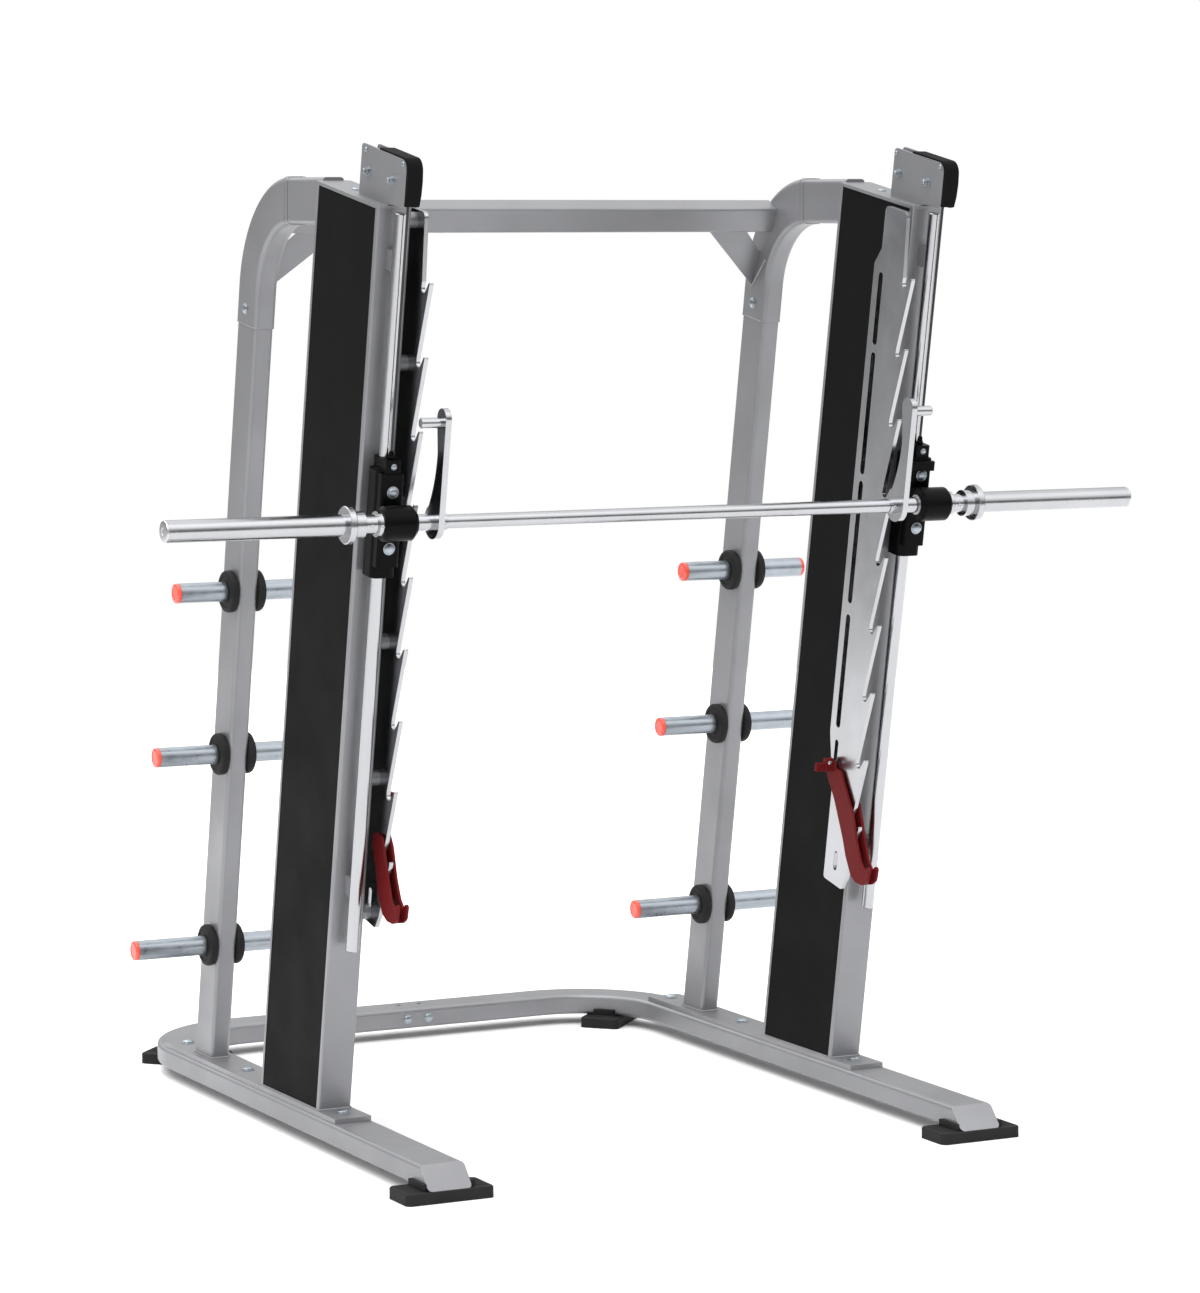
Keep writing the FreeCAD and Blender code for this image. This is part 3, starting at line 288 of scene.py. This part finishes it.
SILVER = (0.265, 0.267, 0.280)
NEAR_BLACK = (0.0090, 0.0092, 0.0096)
MATERIALS = {
    "frame_paint": powder_coat("frame_paint", SILVER, 0.55, 0.40, worn=(0.55, 0.55, 0.56)),
    "panel_black": powder_coat("panel_black", NEAR_BLACK, 0.0, 0.45, Specular_IOR_Level=0.015),
    "black_casting": powder_coat("black_casting", (0.003, 0.003, 0.0033), 0.0, 0.33, worn=(0.03, 0.03, 0.03),
                                 Specular_IOR_Level=0.06),
    "stop_red": powder_coat("stop_red", (0.13, 0.009, 0.010), 0.0, 0.40, worn=(0.18, 0.08, 0.08),
                            Specular_IOR_Level=0.05),
    "chrome": polished("chrome", (0.44, 0.445, 0.46), 0.15, along=(1, 0.04, 0.04)),
    "zinc": plated("zinc", (0.36, 0.395, 0.43)),
    "steel": polished("steel", (0.55, 0.55, 0.56), 0.25),
    "rubber": moulded("rubber", (0.009, 0.009, 0.0095), 0.62, Specular_IOR_Level=0.2),
    "cap_red": moulded("cap_red", (0.78, 0.075, 0.045), 0.30, grain=900.0, depth=0.05, Coat_Weight=0.4),
    "nylon_black": moulded("nylon_black", (0.009, 0.009, 0.0095), 0.45, grain=900.0, depth=0.10,
                           Specular_IOR_Level=0.2),
    "cast_weight": cast("cast_weight", (0.05, 0.05, 0.055)),
    "wire_rope": moulded("wire_rope", (0.012, 0.012, 0.013), 0.45, grain=1500.0, depth=0.3),
}

SLOT_OF = {part["node"]: part["material_slot"] for part in frame["record"]["subparts"]}
for node, piece in frame["nodes"].items():
    for slot in piece.material_slots:
        slot.material = MATERIALS[SLOT_OF[node]]

# ---- mesh pieces --------------------------------------------------------
class Piece:
    """One visible object, gathered from turned and swept shapes."""

    def __init__(self):
        self.bm = bmesh.new()

    def ring(self, centre, side, up, radius, around, hexagon=False):
        corners = []
        for i in range(around):
            angle = 2 * math.pi * i / around
            reach = radius
            if hexagon:
                reach = radius * math.cos(math.pi / 6) / math.cos(angle % (math.pi / 3) - math.pi / 6)
            spoke = side * math.cos(angle) + up * math.sin(angle)
            corners.append(self.bm.verts.new(centre + spoke * reach))
        return corners

    def skin(self, rings):
        for low, high in zip(rings, rings[1:]):
            count = max(len(low), len(high))
            for i in range(count):
                loop = [low[i % len(low)], low[(i + 1) % len(low)],
                        high[(i + 1) % len(high)], high[i % len(high)]]
                corners = list(dict.fromkeys(loop))
                if len(corners) > 2:
                    self.bm.faces.new(corners)

    def turned(self, at, axis, profile, around=32):
        """Turned about an axis: profile rows are (place along it, radius[, True for a hexagon]), in mm."""
        axis = axis.normalized()
        side = axis.orthogonal().normalized()
        up = axis.cross(side)
        rings = []
        for row in profile:
            centre = at + axis * row[0] / 1000
            if row[1] == 0:
                rings.append([self.bm.verts.new(centre)])
            else:
                rings.append(self.ring(centre, side, up, row[1] / 1000, around, len(row) > 2))
        self.skin(rings)

    def swept(self, points, radius, closed=False, around=12, ripple=0.0):
        """Round section carried along points; a ripple gives it the beads of a weld."""
        count = len(points)
        side, rings = None, []
        for i, point in enumerate(points):
            before = points[i - 1] if closed or i else point
            after = points[(i + 1) % count] if closed or i < count - 1 else point
            along = (after - before).normalized()
            side = along.orthogonal() if side is None else side - along * side.dot(along)
            side.normalize()
            size = radius * (1 + ripple * math.sin(i * 2.1)) / 1000
            rings.append(self.ring(point, side, along.cross(side), size, around))
        if closed:
            rings.append(rings[0])
            self.skin(rings)
        else:
            self.skin([[self.bm.verts.new(points[0])]] + rings + [[self.bm.verts.new(points[-1])]])

    def shown(self, name, slot, bodies, replaces=(), crease=30.0, material=None):
        """The finished object; with two bodies the piece is left unattached."""
        bmesh.ops.recalc_face_normals(self.bm, faces=self.bm.faces)
        for edge in self.bm.edges:
            edge.smooth = len(edge.link_faces) != 2 or edge.calc_face_angle() < math.radians(crease)
        for face in self.bm.faces:
            face.smooth = True
        mesh = bpy.data.meshes.new(name)
        self.bm.to_mesh(mesh)
        self.bm.free()
        piece = bpy.data.objects.new(name, mesh)
        bpy.context.scene.collection.objects.link(piece)
        mesh.materials.append(material or MATERIALS[slot])
        if len(bodies) == 1:
            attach(piece, bodies[0])
        if replaces:
            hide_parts(*replaces)
        return piece


def button_bolt(piece, at, axis, radius, height):
    """Washer under a smooth domed head."""
    r, h = radius, height
    piece.turned(at, axis, [(0, 0), (0, 1.18 * r), (0.15 * h, 1.2 * r), (0.2 * h, 1.15 * r), (0.22 * h, r),
                            (0.5 * h, 0.97 * r), (0.75 * h, 0.82 * r), (0.92 * h, 0.5 * r), (h, 0)], 36)


def both_ways(centre_x, half):
    """Faces on the two sides of something: (x, outward)."""
    return (centre_x - half, -X), (centre_x + half, X)


def add_bolts():
    frame_bolts, carriage, corners = Piece(), Piece(), Piece()
    axles = Piece()
    for x in SPLICE_BOLT_X:
        button_bolt(frame_bolts, flat(x, SPLICE_BOLT_Y, SPLICE_BOLT_Z), -Y, 11.0, 8.0)
    for side in (-1, 1):
        middle = side * SIDE_X
        for y in BASE_BOLT_Y:
            button_bolt(frame_bolts, flat(middle, y + FOOT_Y, PLATE_TOP), Z, 14.0, 9.0)
        for x, outward in both_ways(middle, ELBOW_HALF):
            button_bolt(frame_bolts, leaning(x, UPRIGHT_P, ELBOW_BOLT_H), outward, 12.0, 7.0)
        button_bolt(frame_bolts, leaning(middle, *CAP_BOLT), UP, 10.0, 5.0)
        for p, h, radius, height in CARRIAGE_BOLTS:
            button_bolt(carriage, leaning(middle, p, h), -BACK, radius, height)
        for p in PULLEY_P:
            axles.turned(leaning(middle, p, PULLEY_H), X, AXLE_ROD)
            for x, outward in both_ways(middle, BRACKET_HALF):
                axles.turned(leaning(x, p, PULLEY_H), outward, AXLE_END, 36)
        for p, h in (THROUGH_BOLT, REAR_BOLT):
            for x, outward in both_ways(middle, BRACKET_HALF):
                button_bolt(corners, leaning(x, p, h), outward, 5.6, 4.5)
        corners.turned(leaning(middle, *THROUGH_BOLT), X, SPACER, 28)
    frame_bolts.shown("frame_bolt_heads", "zinc", ["root"], ["frame_bolts"])
    carriage.shown("carriage_bolt_heads", "zinc", ["carriage"], ["carriage_bolts"])
    axles.shown("pulley_axle_bolts", "zinc", ["root"], ["pulley_axles"])
    corners.shown("bracket_bolt_heads", "zinc", ["root"], ["bracket_fasteners"])


def add_horns():
    """Moulded bumper rings and dished red caps of the plate horns."""
    bumpers, caps, welds = Piece(), Piece(), Piece()
    for side in (-1, 1):
        for h, reach in HORNS:
            for x, outward in both_ways(side * SIDE_X, 25.0):
                root = leaning(x, HORN_P, h)
                bumpers.turned(root, outward, BUMPER, 64)
                caps.turned(root + outward * (reach - HORN_CAP_T) / 1000, outward, HORN_CAP, 48)
                circle = []
                for i in range(72):
                    angle = math.radians(5 * i)
                    spoke = BACK * math.cos(angle) + UP * math.sin(angle)
                    circle.append(root + outward * 0.0212 + spoke * 0.0248)
                welds.swept(circle, 1.3, closed=True, around=8, ripple=0.2)
    bumpers.shown("horn_bumper_rings", "rubber", ["root"], ["horn_bumpers"])
    caps.shown("horn_end_caps", "cap_red", ["root"], ["horn_caps"])
    welds.shown("horn_collar_beads", "rubber", ["root"])


def arc(centre, out, up, radius, start, end, steps):
    """Points round a centre, from the angle start to end in degrees, radius in mm."""
    angles = [math.radians(start + (end - start) * i / steps) for i in range(steps + 1)]
    return [centre + (out * math.cos(a) + up * math.sin(a)) * radius / 1000 for a in angles]


def straight(start, end, step=0.012):
    count = max(2, round((end - start).length / step))
    return [start.lerp(end, i / count) for i in range(count + 1)]


def add_cables():
    front, rear = PULLEY_P[0] - CABLE_BEND_R[0], PULLEY_P[1] + CABLE_BEND_R[1]
    slant = math.asin((CABLE_BEND_R[0] - CABLE_BEND_R[1]) / (PULLEY_P[1] - PULLEY_P[0]))
    leave = 90 - math.degrees(slant)
    over = Piece()
    for side in (-1, 1):
        x = side * SIDE_X
        route = arc(leaning(x, PULLEY_P[0], PULLEY_H), BACK, UP, CABLE_BEND_R[0], 180, leave, 20)
        route += arc(leaning(x, PULLEY_P[1], PULLEY_H), BACK, UP, CABLE_BEND_R[1], leave, 0, 20)
        over.swept(route, CABLE_R, around=16)
    over.shown("cable_over_both_pulleys", "wire_rope", ["root"], ["cable_over_pulleys"])
    for name, p, low, body, node in (("front", front, CABLE_LOW, "carriage", "cable_front_runs"),
                                     ("weight", rear, WEIGHT_TOP, "counterweights", "cable_weight_runs")):
        runs = Piece()
        for side in (-1, 1):
            x = side * SIDE_X
            runs.swept(straight(leaning(x, p, PULLEY_H), leaning(x, p, low)), CABLE_R, around=16)
        piece = runs.shown("cable_run_" + name, "wire_rope", ["root", body], [node])
        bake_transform(piece)
    sockets = Piece()
    for side in (-1, 1):
        sockets.turned(leaning(side * SIDE_X, front, 1662.5), UP, FERRULE)
    sockets.shown("cable_sockets", "black_casting", ["carriage"])


def rectangle(centre, across, along, width, depth, corner):
    """Closed loop of points around a rounded rectangle, sizes in mm."""
    loop = []
    for start, sx, sy in ((0, 1, 1), (90, -1, 1), (180, -1, -1), (270, 1, -1)):
        middle = (centre + across * (sx * (width / 2 - corner) / 1000)
                  + along * (sy * (depth / 2 - corner) / 1000))
        loop += arc(middle, across, along, corner, start, start + 90, 6)
    filled = []
    for here, after in zip(loop, loop[1:] + loop[:1]):
        filled += straight(here, after, 0.0035)[:-1]
    return filled


def add_welds():
    """Beads where the columns and uprights stand on the base, and along the bent elbows' seams."""
    beads = Piece()
    floor_p = PLATE_TOP * math.tan(LEAN)
    stretch = 1 / math.cos(LEAN)
    for side in (-1, 1):
        x = side * SIDE_X
        for width, depth, p in ((83.0, 339.0, 169.5), (50.0, 106.0, UPRIGHT_P)):
            y = FOOT_Y + p * stretch - floor_p
            beads.swept(rectangle(flat(x, y, PLATE_TOP + 0.6), X, Y, width, depth * stretch, 5.0),
                        3.0, closed=True, around=8, ripple=0.16)
        beads.swept(rectangle(leaning(x, UPRIGHT_P, 1812.6), X, BACK, 51.0, 107.0, 9.0),
                    2.6, closed=True, around=8, ripple=0.16)
        level = flat(x, -101.3, 2203.0)
        beads.swept(rectangle(level, X, Z, 54.5, 108.5, 10.0), 2.4, closed=True, around=8, ripple=0.16)
        inner = x - side * 28.4
        seam = straight(flat(inner, 352.0 + FOOT_Y, 2059.0), flat(inner, 422.0 + FOOT_Y, 1991.0), 0.0035)
        beads.swept(seam, 3.0, around=8, ripple=0.16)
    beads.shown("weld_beads", "frame_paint", ["root"])


def add_feet():
    """Raised rims and grip ribs on the rubber pads."""
    trim = Piece()
    quarter = math.radians(45)
    reach = BASE_BEND_R * math.sqrt(0.5)
    for side in (-1, 1):
        front = flat(side * SIDE_X, FOOT_Y - 597.0, FOOT_TOP)
        rear = flat(side * (SIDE_X - BASE_BEND_R + reach), FOOT_Y + 902.0 + reach, FOOT_TOP)
        across = Vector((math.cos(quarter), side * math.sin(quarter), 0))
        for centre, long_way in ((front, X), (rear, across)):
            short_way = Z.cross(long_way)
            trim.swept(rectangle(centre - Z * 0.0035, long_way, short_way, 209.4, 99.4, 13.0), 3.2,
                        closed=True, around=10)
            for end in (-1, 1):
                for k in range(4):
                    middle = centre + long_way * (end * (72.0 + 8.0 * k) / 1000)
                    rib = straight(middle - short_way * 0.036, middle + short_way * 0.036)
                    trim.swept(rib, 1.4, around=8)
    trim.shown("foot_pad_trim", "rubber", ["root"])


def add_bar_details():
    screws = Piece()
    for side in (-1, 1):
        for x, radius in BAR_SCREWS:
            at = leaning(side * x, BAR_P, BAR_H)
            screws.turned(at - BACK * (radius - 1.5) / 1000, -BACK, SET_SCREW, 24)
        end = leaning(side * SLEEVE_END, BAR_P, BAR_H)
        screws.turned(end, X * side, SLEEVE_CAP, 48)
    screws.shown("bar_end_caps_and_screws", "steel", ["bar"], ["sleeve_caps"])
    for side, sign in SIDES:
        lock = Piece()
        button_bolt(lock, leaning(sign * 601.0, 54.0, 842.0), -BACK, 4.5, 3.0)
        lock.shown("stop_screw_" + side, "chrome", ["stop_lock_" + side])


SIDES = (("left", -1), ("right", 1))
add_bolts()
add_horns()
add_cables()
add_welds()
add_feet()
add_bar_details()

# ---- studio -------------------------------------------------------------
FLOOR_R = 10.0
ROOM = 1.0
SKY = ((0.0, 0.32), (0.36, 0.65), (0.46, 0.55), (0.50, 0.20), (0.56, 0.32), (0.66, 0.85),
       (0.80, 1.8), (1.0, 2.8))                                                                # by height
PANELS = ((0.0, 0.75), (0.06, 1.25), (0.13, 1.25), (0.17, 0.55), (0.27, 0.45), (0.31, 0.8), (0.36, 0.8),
          (0.42, 0.6), (0.62, 0.6), (0.72, 0.9), (0.77, 1.35), (0.84, 1.35), (0.89, 0.7),
          (1.0, 0.75))                                                                         # by bearing
CAMERA_AT = (-4.7822, -9.5113, 2.2058)
CAMERA_TURN = (84.1689, -0.0646, -27.4609)


def studio():
    scene = bpy.context.scene
    camera = bpy.data.objects.new("camera", bpy.data.cameras.new("camera"))
    camera.data.sensor_fit = "HORIZONTAL"
    camera.data.sensor_width = 36.0
    camera.data.lens = 131.21
    camera.location = CAMERA_AT
    camera.rotation_euler = [math.radians(a) for a in CAMERA_TURN]
    camera.data.clip_end = 200.0
    scene.collection.objects.link(camera)
    scene.camera = camera
    scene.view_settings.view_transform = "Standard"

    world = bpy.data.worlds.new("studio")
    world.use_nodes = True
    scene.world = world
    tree = world.node_tree
    tree.nodes.clear()

    def add(kind):
        return tree.nodes.new(kind)

    def number(operation, first, second):
        node = add("ShaderNodeMath")
        node.operation = operation
        for socket, value in zip(node.inputs, (first, second)):
            if isinstance(value, float):
                socket.default_value = value
            else:
                tree.links.new(value, socket)
        return node.outputs[0]

    def stepped(value, *stops):
        node = add("ShaderNodeValToRGB")
        elements = node.color_ramp.elements
        while len(elements) < len(stops):
            elements.new(0.5)
        for element, (position, grey) in zip(elements, stops):
            element.position = position
            element.color = (grey, grey, grey, 1.0)
        tree.links.new(value, node.inputs["Fac"])
        return node.outputs["Color"]

    place, split = add("ShaderNodeTexCoord"), add("ShaderNodeSeparateXYZ")
    tree.links.new(place.outputs["Generated"], split.inputs[0])
    rise = number("MULTIPLY_ADD", split.outputs["Z"], 0.5)
    rise.node.inputs[2].default_value = 0.5
    bearing = number("ARCTAN2", split.outputs["Y"], split.outputs["X"])
    turn = number("MULTIPLY_ADD", bearing, 0.5 / math.pi)
    turn.node.inputs[2].default_value = 0.5
    sky = stepped(rise, *SKY)
    panels = stepped(turn, *PANELS)
    room, seen, pick = add("ShaderNodeBackground"), add("ShaderNodeBackground"), add("ShaderNodeMixShader")
    path, output = add("ShaderNodeLightPath"), add("ShaderNodeOutputWorld")
    mix = add("ShaderNodeMix")
    mix.data_type = "RGBA"
    mix.blend_type = "MULTIPLY"
    mix.inputs[0].default_value = 1.0
    tree.links.new(sky, mix.inputs[6])
    tree.links.new(panels, mix.inputs[7])
    tree.links.new(mix.outputs[2], room.inputs["Color"])
    room.inputs["Strength"].default_value = ROOM
    seen.inputs["Color"].default_value = (1, 1, 1, 1)
    tree.links.new(path.outputs["Is Camera Ray"], pick.inputs[0])
    tree.links.new(room.outputs[0], pick.inputs[1])
    tree.links.new(seen.outputs[0], pick.inputs[2])
    tree.links.new(pick.outputs[0], output.inputs["Surface"])


def soft_sun(name, toward, strength, spread):
    """A distant lamp with a wide disc, shining from a direction."""
    light = bpy.data.lights.new(name, "SUN")
    light.energy = strength
    light.angle = math.radians(spread)
    lamp = bpy.data.objects.new(name, light)
    lamp.rotation_euler = (-Vector(toward)).to_track_quat("-Z", "Y").to_euler()
    bpy.context.scene.collection.objects.link(lamp)


def floor():
    mesh = bpy.data.meshes.new("floor")
    angles = [math.radians(a) for a in range(0, 360, 5)]
    rim = [(FLOOR_R * math.cos(a), FLOOR_R * math.sin(a), 0) for a in angles]
    mesh.from_pydata(rim, [], [tuple(range(len(rim)))])
    sheet = bpy.data.objects.new("floor", mesh)
    bpy.context.scene.collection.objects.link(sheet)
    g = Graph("floor", 0.0, 0.85)
    g.colour(g.ramp(g.noise(3.0, 4.0), (0.3, (0.93, 0.93, 0.93)), (0.7, (0.95, 0.95, 0.95))))
    sheet.data.materials.append(g.material)


studio()
soft_sun("key", (-0.50, -0.38, 0.95), 0.85, 40)
soft_sun("fill", (0.70, -0.45, 0.55), 0.35, 60)
floor()
